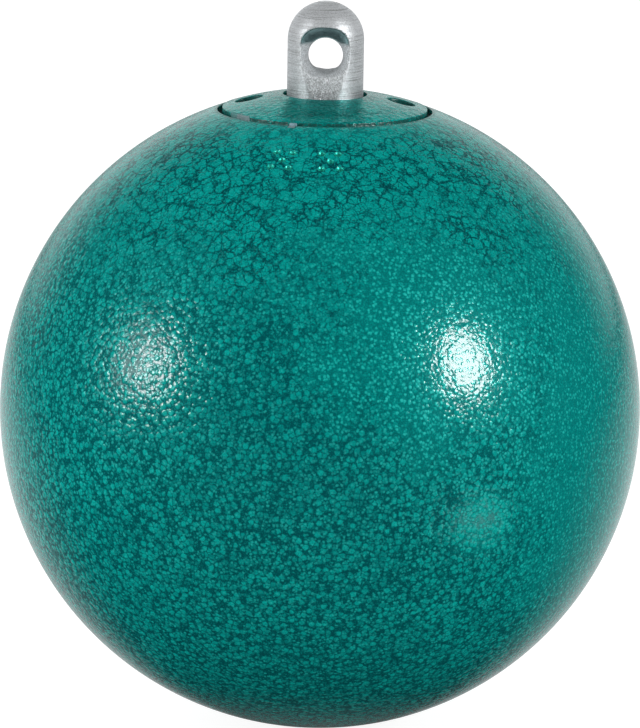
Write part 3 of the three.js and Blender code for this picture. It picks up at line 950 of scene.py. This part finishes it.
def punched(points):
    """The points with the punch dots pressed into the ball's skin"""
    centred = points - [0, 0, BALL_CENTRE]
    distance = np.linalg.norm(centred, axis=1)
    outer = distance > BALL_RADIUS - SKIN
    for place in punch_places():
        away = np.linalg.norm(centred - place, axis=1) / PUNCH_RADIUS
        bowl = PUNCH_DEPTH * np.clip(1 - away ** 2, 0, 1)
        lip = PUNCH_LIP * np.exp(-((away - PUNCH_LIP_PLACE) / PUNCH_LIP_SPREAD) ** 2)
        shift = np.where(outer, lip - bowl, 0)
        points = points + centred / distance[:, None] * shift[:, None]
    return points


def make_ball(material):
    shell = Shell()
    lathe(shell, ball_profile(), ball_turns())
    shell.points = punched(np.array(shell.points)).tolist()
    ball = shell.piece("painted_ball", material, TURNED_EDGE)
    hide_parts("head_shell")
    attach(ball, "head")


# Cap

CAP_SEGMENTS = 240
CAP_RINGS = 44
HOLE_RINGS = 5
HOLE_LIP_RINGS = 4
HOLE_MARGIN = 0.45


def dome_point(x, y):
    return x, y, dome_top(math.hypot(x, y))


def spanner_hole(shell, loop, centre_x):
    """Joins a loop of points on the dome to a round hole with a softened lip"""
    loop_points = np.array([shell.points[k] for k in loop])
    angles = np.arctan2(loop_points[:, 1], loop_points[:, 0] - centre_x)
    mouth = SPANNER_HOLE_RADIUS + SPANNER_LIP
    rings = []
    for step in range(1, HOLE_RINGS + 1):
        share = step / HOLE_RINGS
        rings.append([
            dome_point(
                x + share * (centre_x + mouth * math.cos(angle) - x),
                y + share * (mouth * math.sin(angle) - y),
            )
            for (x, y, _), angle in zip(loop_points, angles)
        ])
    for step in range(1, HOLE_LIP_RINGS + 1):
        turn = math.pi / 2 * step / HOLE_LIP_RINGS
        radius = SPANNER_HOLE_RADIUS + SPANNER_LIP * (1 - math.sin(turn))
        drop = SPANNER_LIP * (1 - math.cos(turn))
        lip = [(centre_x + radius * math.cos(a), radius * math.sin(a)) for a in angles]
        rings.append([(x, y, dome_point(x, y)[2] - drop) for x, y in lip])
    floor = dome_top(SPANNER_PITCH_RADIUS) - SPANNER_HOLE_DEPTH
    rings.append([
        (centre_x + SPANNER_HOLE_RADIUS * math.cos(a), SPANNER_HOLE_RADIUS * math.sin(a), floor)
        for a in angles
    ])
    previous = loop
    for ring in rings:
        current = shell.ring(ring)
        shell.band(previous, current)
        previous = current
    shell.lid(previous, (centre_x, 0, floor))


def open_for_hole(shell, rings, ring_span, middle, half):
    """Takes a block of faces out of the dome and gives the loop of points around it"""
    low, high = ring_span
    columns = [(middle + k) % CAP_SEGMENTS for k in range(-half, half + 1)]
    block = {rings[i][j] for i in range(low, high + 1) for j in columns}
    shell.faces = [face for face in shell.faces if not set(face) <= block]
    loop = [rings[low][j] for j in columns]
    loop += [rings[i][columns[-1]] for i in range(low + 1, high + 1)]
    loop += [rings[high][j] for j in reversed(columns[:-1])]
    loop += [rings[i][columns[0]] for i in range(high - 1, low, -1)]
    return loop


def make_cap(material):
    recess_radius = RACE_RADIUS + LOOSE_GAP
    recess_top = RACE_TOP + SEAT_GAP
    bush_seat = BUSH_RADIUS + FIT_GAP
    step = SEAL_TOP + SEAT_GAP
    radii = np.linspace(
        CAP_RADIUS - CAP_EDGE_ROUND, STEM_HOLE_RADIUS + STEM_HOLE_ROUND, CAP_RINGS,
    )
    dome = [(r, dome_top(r)) for r in radii]
    hole_top = (STEM_HOLE_RADIUS, dome_top(STEM_HOLE_RADIUS))
    foot = (CAP_RADIUS, CAP_BOTTOM)
    rim = (CAP_RADIUS, CAP_RIM_TOP)
    side = [(recess_radius, CAP_BOTTOM), foot, *rounded(foot, rim, dome[0], CAP_EDGE_ROUND)[:-1]]
    profile = side + dome + [
        *rounded(dome[-1], hole_top, (STEM_HOLE_RADIUS, step), STEM_HOLE_ROUND)[1:],
        (STEM_HOLE_RADIUS, step),
        (bush_seat, step),
        (bush_seat, recess_top),
        (recess_radius, recess_top),
    ]
    shell = Shell()
    rings = lathe(shell, profile, even_turns(CAP_SEGMENTS))
    reach = SPANNER_HOLE_RADIUS + SPANNER_LIP + HOLE_MARGIN
    near = [k for k, r in enumerate(radii) if abs(r - SPANNER_PITCH_RADIUS) < reach]
    ring_span = (len(side) + near[0], len(side) + near[-1])
    half = math.ceil(reach / SPANNER_PITCH_RADIUS * CAP_SEGMENTS / (2 * math.pi))
    for middle, side_sign in ((0, 1), (CAP_SEGMENTS // 2, -1)):
        loop = open_for_hole(shell, rings, ring_span, middle, half)
        spanner_hole(shell, loop, side_sign * SPANNER_PITCH_RADIUS)
    cap = shell.piece("painted_cap", material, TURNED_EDGE)
    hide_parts("swivel_cap")
    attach(cap, "head")


# Lock key

KEY_EDGE = 60


def make_lock_key(material):
    """A small rounded block in the groove between cap and ball"""
    size = Vector((GROOVE_WIDTH - 2 * SEAT_GAP, KEY_WIDTH, KEY_TOP - KEY_BOTTOM))
    middle = Vector((CAP_RADIUS + GROOVE_WIDTH / 2, 0, key_middle[2]))
    work = bmesh.new()
    bmesh.ops.create_cube(work, size=1)
    bmesh.ops.scale(work, vec=size * MM, verts=work.verts)
    bmesh.ops.bevel(
        work, geom=work.edges[:], offset=KEY_EDGE_ROUND * MM,
        segments=3, profile=0.5, affect="EDGES",
    )
    place = Matrix.Rotation(KEY_ANGLE, 4, "Z") @ Matrix.Translation(middle * MM)
    bmesh.ops.transform(work, matrix=place, verts=work.verts)
    mesh = bpy.data.meshes.new("lock_key")
    work.to_mesh(mesh)
    work.free()
    finish_mesh(mesh, material, KEY_EDGE)
    key = linked("lock_key", mesh)
    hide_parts("cap_lock_key")
    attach(key, "head")


# Stem

STEM_STEP = 0.17
STEM_EDGE = 60
STEM_JOINT = 92.2
EDGE_ROUND = 0.15
EYE_FLARE_LEFT = 0.3
NOTCH_SIDE = 0.55
NOTCH_DEPTH = 0.55
NOTCH_FADE = 0.45
NOTCH_SLOPE = 1.1
NOTCH_SHARE = 0.6
NOTCH_ROUND = 0.1
OUTSIDE = -1.0
SPINDLE_SEGMENTS = 96
DRILL_SEGMENTS = 32


def smooth_most(first, second, width):
    """The larger of two distances, with the edge between them rounded over width"""
    overlap = np.clip(width - np.abs(first - second), 0, None) / width
    return np.maximum(first, second) + overlap ** 2 * width / 4


def eye_field(x, y, rise):
    """Depth inside the bell-mouthed eye, which flares most upward and at its shoulders"""
    away = np.sqrt(x ** 2 + rise ** 2)
    depth = np.clip(np.abs(y), 0, EYE_FLARE_RADIUS - EYE_FLARE_LEFT)
    widening = EYE_FLARE_RADIUS - np.sqrt(EYE_FLARE_RADIUS ** 2 - depth ** 2)
    exponent = -math.log2(EYE_SIDE_FLARE_SHARE)
    upward = ((1 + rise / np.maximum(away, ON_AXIS)) / 2) ** exponent
    upward = np.maximum(upward, EYE_DOWN_FLARE_SHARE)
    shoulders = 1 + EYE_SHOULDER_SHARE * (2 * x * rise / np.maximum(away, ON_AXIS) ** 2) ** 2
    return EYE_RADIUS + upward * widening * shoulders - away


def stem_field(x, y, z):
    """Distance from the surface of the stem's head, negative inside"""
    above = np.maximum(z - STEM_DOME_CENTRE, 0)
    body = np.sqrt(x ** 2 + y ** 2 + above ** 2) - STEM_RADIUS
    rise = z - EYE_HEIGHT
    slope = RELIEF_DEPTH / RELIEF_LENGTH
    flat = STEM_RADIUS - RELIEF_DEPTH - slope * rise
    below = np.where(rise < 0, np.abs(y) - flat, OUTSIDE) / math.hypot(1, slope)
    notch = NOTCH_DEPTH - (EYE_HEIGHT - EYE_RADIUS - z) * NOTCH_FADE
    notch = notch - np.abs(x - NOTCH_SIDE) * NOTCH_SLOPE - (y + flat)
    notch = np.where((y < 0) & (rise < 0), notch, OUTSIDE) * NOTCH_SHARE
    field = smooth_most(body, eye_field(x, y, rise), EDGE_ROUND)
    field = smooth_most(field, below, EDGE_ROUND)
    field = smooth_most(field, notch, NOTCH_ROUND)
    return np.maximum(field, STEM_JOINT - z)


def surface_points(values, inside, shape):
    """Sum of the places where a field changes sign on each cell's edges, in steps from
    the cell's corner, and how many edges those are"""
    total = np.zeros(shape + (3,))
    count = np.zeros(shape)

    def corner(array, at):
        return array[tuple(slice(o, o + n) for o, n in zip(at, shape))]

    for start in ((i, j, k) for i in (0, 1) for j in (0, 1) for k in (0, 1)):
        for axis in range(3):
            if start[axis]:
                continue
            end = tuple(1 if a == axis else o for a, o in enumerate(start))
            first, second = corner(values, start), corner(values, end)
            crossing = corner(inside, start) != corner(inside, end)
            share = np.where(crossing, first / np.where(crossing, first - second, 1), 0)
            for a in range(3):
                offset = start[a] + (share if a == axis else 0)
                total[..., a] += np.where(crossing, offset, 0)
            count += crossing
    return total, count


def polygonise(field, low, high, step):
    """Points and four-sided faces on the surface where the field is zero"""
    axes = [np.arange(a, b + step, step) for a, b in zip(low, high)]
    values = field(*np.meshgrid(*axes, indexing="ij"))
    inside = values < 0
    shape = tuple(n - 1 for n in values.shape)
    total, count = surface_points(values, inside, shape)
    used = count > 0
    number = np.full(shape, -1)
    number[used] = np.arange(used.sum())
    points = np.array(low) + step * (np.argwhere(used) + total[used] / count[used][:, None])
    faces = []
    for axis in range(3):
        u, v = (axis + 1) % 3, (axis + 2) % 3
        places = np.argwhere(inside != np.roll(inside, -1, axis=axis))
        keep = (places[:, axis] < shape[axis]) & (places[:, u] > 0) & (places[:, v] > 0)
        keep &= (places[:, u] < shape[u]) & (places[:, v] < shape[v])
        places = places[keep]
        quads = []
        for du, dv in ((1, 1), (0, 1), (0, 0), (1, 0)):
            cell = places.copy()
            cell[:, u] -= du
            cell[:, v] -= dv
            quads.append(number[tuple(cell.T)])
        faces.append(np.stack(quads, axis=1))
    return points, np.concatenate(faces)


def settle(field, points, rounds=3, nudge=0.01, stride=0.05, least_slope=0.25):
    """Moves points onto the surface along the field's slope"""
    for _ in range(rounds):
        value = field(*points.T)
        slope = np.stack([
            (field(*(points + nudge * unit).T) - field(*(points - nudge * unit).T)) / (2 * nudge)
            for unit in np.eye(3)
        ], axis=1)
        length = np.maximum((slope ** 2).sum(axis=1), least_slope)
        points = points - (np.clip(value, -stride, stride) / length)[:, None] * slope
    return points


def make_stem_head(material):
    reach = STEM_RADIUS + 2 * STEM_STEP
    low = (-reach, -reach, STEM_JOINT - 2 * STEM_STEP)
    high = (reach, reach, STEM_TOP + 2 * STEM_STEP)
    points, faces = polygonise(stem_field, low, high, STEM_STEP)
    shell = Shell()
    shell.points = settle(stem_field, points).tolist()
    shell.faces = faces.tolist()
    head = shell.piece("stem_head", material, STEM_EDGE)
    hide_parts("swivel_stem")
    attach(head, "swivel")


def cross_hole(spindle, material):
    """Bores the split pin's hole through the spindle"""
    radius = PIN_RADIUS + FIT_GAP
    shell = Shell()
    profile = [(0, -STEM_RADIUS), (radius, -STEM_RADIUS), (radius, STEM_RADIUS), (0, STEM_RADIUS)]
    lathe(shell, profile, even_turns(DRILL_SEGMENTS))
    drill = shell.piece("cross_drill", material, TURNED_EDGE)
    lift = Matrix.Translation((0, 0, (NUT_BOTTOM + PIN_RISE) * MM))
    drill.matrix_world = lift @ Matrix.Rotation(math.pi / 2, 4, "Y")
    cut = spindle.modifiers.new("cross_hole", "BOOLEAN")
    cut.operation = "DIFFERENCE"
    cut.object = drill
    bpy.context.view_layer.update()
    state = bpy.context.evaluated_depsgraph_get()
    mesh = bpy.data.meshes.new_from_object(spindle.evaluated_get(state))
    spindle.modifiers.clear()
    mesh.materials.clear()
    finish_mesh(mesh, material, TURNED_EDGE)
    spindle.data = mesh
    bpy.data.objects.remove(drill)


def make_spindle(material):
    """The stem's shank and threaded end, inside the cap and the ball"""
    shoulder = RACE_TOP + SEAT_GAP + SHOULDER_GAP
    profile = [
        (0, STEM_BOTTOM),
        (SPINDLE_RADIUS - SPINDLE_CHAMFER, STEM_BOTTOM),
        (SPINDLE_RADIUS, STEM_BOTTOM + SPINDLE_CHAMFER),
        (SPINDLE_RADIUS, shoulder),
        (STEM_RADIUS, shoulder),
        (STEM_RADIUS, STEM_JOINT),
        (0, STEM_JOINT),
    ]
    shell = Shell()
    lathe(shell, profile, even_turns(SPINDLE_SEGMENTS))
    spindle = shell.piece("stem_spindle", material, TURNED_EDGE)
    cross_hole(spindle, material)
    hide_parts("swivel_stem")
    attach(spindle, "swivel")


# Finishes of the pieces that keep their CAD shape

def dress(node, material):
    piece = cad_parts[node]
    if not piece.material_slots:
        piece.data.materials.append(material)
    for slot in piece.material_slots:
        slot.material = material


# Floor: how it looks to the camera, how it lights, and what gloss sees in it

WHITE = (1, 1, 1, 1)
FLOOR_HALF = 6.0
FLOOR_GLOW = 0.9
FLOOR_SHADOW_GREY = (0.25, 0.25, 0.25, 1)
FLOOR_GREY = (0.78, 0.78, 0.78, 1)
SHINE_LEAST = 0.01
SHINE_BEHIND = (-0.5, 0.45, 0.0, 0.99)
SHINE_SPREAD = 0.2
SHINE_START = 28.0
SHINE_FAR = (60.0, 180.0, 0.75, 1.0)
SHINE_FOOT = (28.0, 14.0, 0.0, 0.14)
# A small glowing patch on the floor, tinted teal and seen only in gloss, stands in for a lamp low
# on the right
FLOOR_PATCH_PLACE = (96.7, -79.2, 0.0)
FLOOR_PATCH = (24.0, 8.0)
FLOOR_PATCH_LEVEL = 1.6
FLOOR_PATCH_TINT = (0.62, 1.0, 0.97, 1.0)


def floor_shine(recipe, place):
    """Level and tint of what gloss sees in the floor"""
    out, _, _ = camera_axes()
    away = recipe.distance(place, (0, 0, 0))
    behind = recipe.along(place, (-out[0], -out[1], 0)) / away
    spread = SHINE_SPREAD * (away / SHINE_START).doublings()
    shine = SHINE_LEAST + recipe.ease(behind - spread, *SHINE_BEHIND)
    shine = shine * recipe.ease(away, *SHINE_FAR)
    shine = shine + recipe.ease(away, *SHINE_FOOT)
    patch = recipe.ease(recipe.distance(place, FLOOR_PATCH_PLACE), *FLOOR_PATCH)
    tint = recipe.blend(patch, WHITE, FLOOR_PATCH_TINT)
    return shine + FLOOR_PATCH_LEVEL * patch, tint


def make_floor():
    """A pale floor, white to the camera, whose reflection is white behind the ball and
    dims close to it and in front, but for one small bright patch"""
    mesh = bpy.data.meshes.new("floor")
    signs = ((-1, -1), (1, -1), (1, 1), (-1, 1))
    mesh.from_pydata([(x * FLOOR_HALF, y * FLOOR_HALF, 0) for x, y in signs], [], [range(4)])
    floor = linked("floor", mesh)
    material, recipe = new_material("pale_floor")
    level, tint = floor_shine(recipe, recipe.place_mm())
    clear = recipe.ray("Is Camera Ray").most(recipe.ray("Is Transmission Ray"))
    glow = recipe.add("ShaderNodeEmission", None, {"Color": WHITE, "Strength": FLOOR_GLOW})
    pale = recipe.add("ShaderNodeBsdfDiffuse", None, {"Color": FLOOR_SHADOW_GREY})
    bright = recipe.add("ShaderNodeAddShader", None, {0: glow, 1: pale})
    mirrored = recipe.add("ShaderNodeEmission", None, {"Color": tint, "Strength": level})
    plain = recipe.add("ShaderNodeBsdfDiffuse", None, {"Color": FLOOR_GREY})
    rest = recipe.mixed(recipe.ray("Is Glossy Ray"), plain, mirrored)
    recipe.surface(recipe.mixed(clear, rest, bright))
    mesh.materials.append(material)


# World: backdrop and room

BACKDROP = (-0.45, -1.05, 0.01, 1.0)
ROOM_LEVEL = 0.33
LEFT_WALL = (-0.4, -0.95, 0.0, 2.3)
RIGHT_WALL = (0.4, 0.95, 0.0, 1.15)
CEILING = (0.2, 1.0, 0.0, 0.33)


def make_world():
    """A backdrop, white to the camera and to gloss behind the ball, in a dimmer room"""
    world = bpy.data.worlds.new("studio")
    bpy.context.scene.world = world
    world.use_nodes = True
    recipe = Recipe(world.node_tree)
    out, right, up = camera_axes()
    direction = recipe.add("ShaderNodeTexCoord", output="Generated")
    mirrored = recipe.ease(recipe.along(direction, out), *BACKDROP)
    sideways = recipe.along(direction, right)
    left_wall = recipe.ease(sideways, *LEFT_WALL)
    right_wall = recipe.ease(sideways, *RIGHT_WALL)
    ceiling = recipe.ease(recipe.along(direction, up), *CEILING)
    lighting = ROOM_LEVEL + left_wall + right_wall + ceiling
    shown = recipe.ray("Is Camera Ray").most(recipe.ray("Is Transmission Ray"))
    glossy = recipe.ray("Is Glossy Ray")
    level = shown + (1 - shown) * (glossy * mirrored + (1 - glossy) * lighting)
    sky = recipe.add("ShaderNodeBackground", None, {"Color": WHITE, "Strength": level})
    recipe.surface(sky, "ShaderNodeOutputWorld")


# Lamps: direction as shares to the camera's right, up and toward it, width and height in
# degrees as seen from the ball, and level, where 1 is white

LAMP_DISTANCE = 1.2
LAMPS = {
    "right_softbox": ((0.765, 0.252, 0.584), (16.0, 19), 20.5),
    "left_softbox": ((-0.854, 0.195, 0.476), (10.5, 13), 16.0),
    "left_haze": ((-0.905, 0.22, 0.35), (17, 22), 2.9),
}


def make_lamp(name, direction, size_degrees, level):
    out, right, up = camera_axes()
    aim = (right * direction[0] + up * direction[1] + out * direction[2]).normalized()
    data = bpy.data.lights.new(name, "AREA")
    data.shape = "ELLIPSE"
    data.size = 2 * LAMP_DISTANCE * math.tan(math.radians(size_degrees[0]) / 2)
    data.size_y = 2 * LAMP_DISTANCE * math.tan(math.radians(size_degrees[1]) / 2)
    data.energy = level * math.pi * math.pi / 4 * data.size * data.size_y
    lamp = linked(name, data)
    lamp.location = Vector((0, 0, BALL_CENTRE * MM)) + aim * LAMP_DISTANCE
    lamp.rotation_euler = aim.to_track_quat("Z", "Y").to_euler()


# Assembly

make_camera()

fittings_steel = turned_steel("turned_fittings", PLAIN_STEEL)
race_steel = plain_metal("ground_race", srgb(190, 194, 198), 0.22, 2.5)
ball_steel = plain_metal("polished_bearing", srgb(214, 216, 220), 0.1, 4.0)

make_ball(painted_steel("hammertone_ball", ball_wear_and_painted_light, BALL_RELIEF))
make_cap(painted_steel("hammertone_cap", cap_wear_and_painted_shade, CAP_RELIEF))
make_lock_key(plain_metal("key_metal", srgb(134, 168, 180), 0.5, 0.6, 0.25))
make_stem_head(stem_steel("turned_stem", BRIGHT_STEEL))
make_spindle(fittings_steel)

for name, finish in {
    "ballast": plain_metal("cast_ballast", srgb(104, 106, 108), 0.62, 3.5),
    "cap_gasket": matt_stuff("gasket_fibre", srgb(46, 50, 52), 0.85, 0.25),
    "stem_bushing": plain_metal("bush_bronze", srgb(188, 140, 76), 0.35, 2.0),
    "stem_seal": matt_stuff("seal_rubber", srgb(26, 26, 28), 0.6, 0.4),
    "upper_race": race_steel,
    "lower_race": race_steel,
    "bearing_cage": plain_metal("cage_bronze", srgb(176, 134, 72), 0.4, 1.2),
    "thrust_washer": fittings_steel,
    "castle_nut": fittings_steel,
    "cotter_pin": fittings_steel,
}.items():
    dress(name, finish)
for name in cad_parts:
    if name.startswith("bearing_ball_"):
        dress(name, ball_steel)

make_floor()
make_world()
for name, (direction, size_degrees, level) in LAMPS.items():
    make_lamp(name, direction, size_degrees, level)

bpy.context.scene.view_settings.view_transform = "Standard"
bpy.context.view_layer.update()
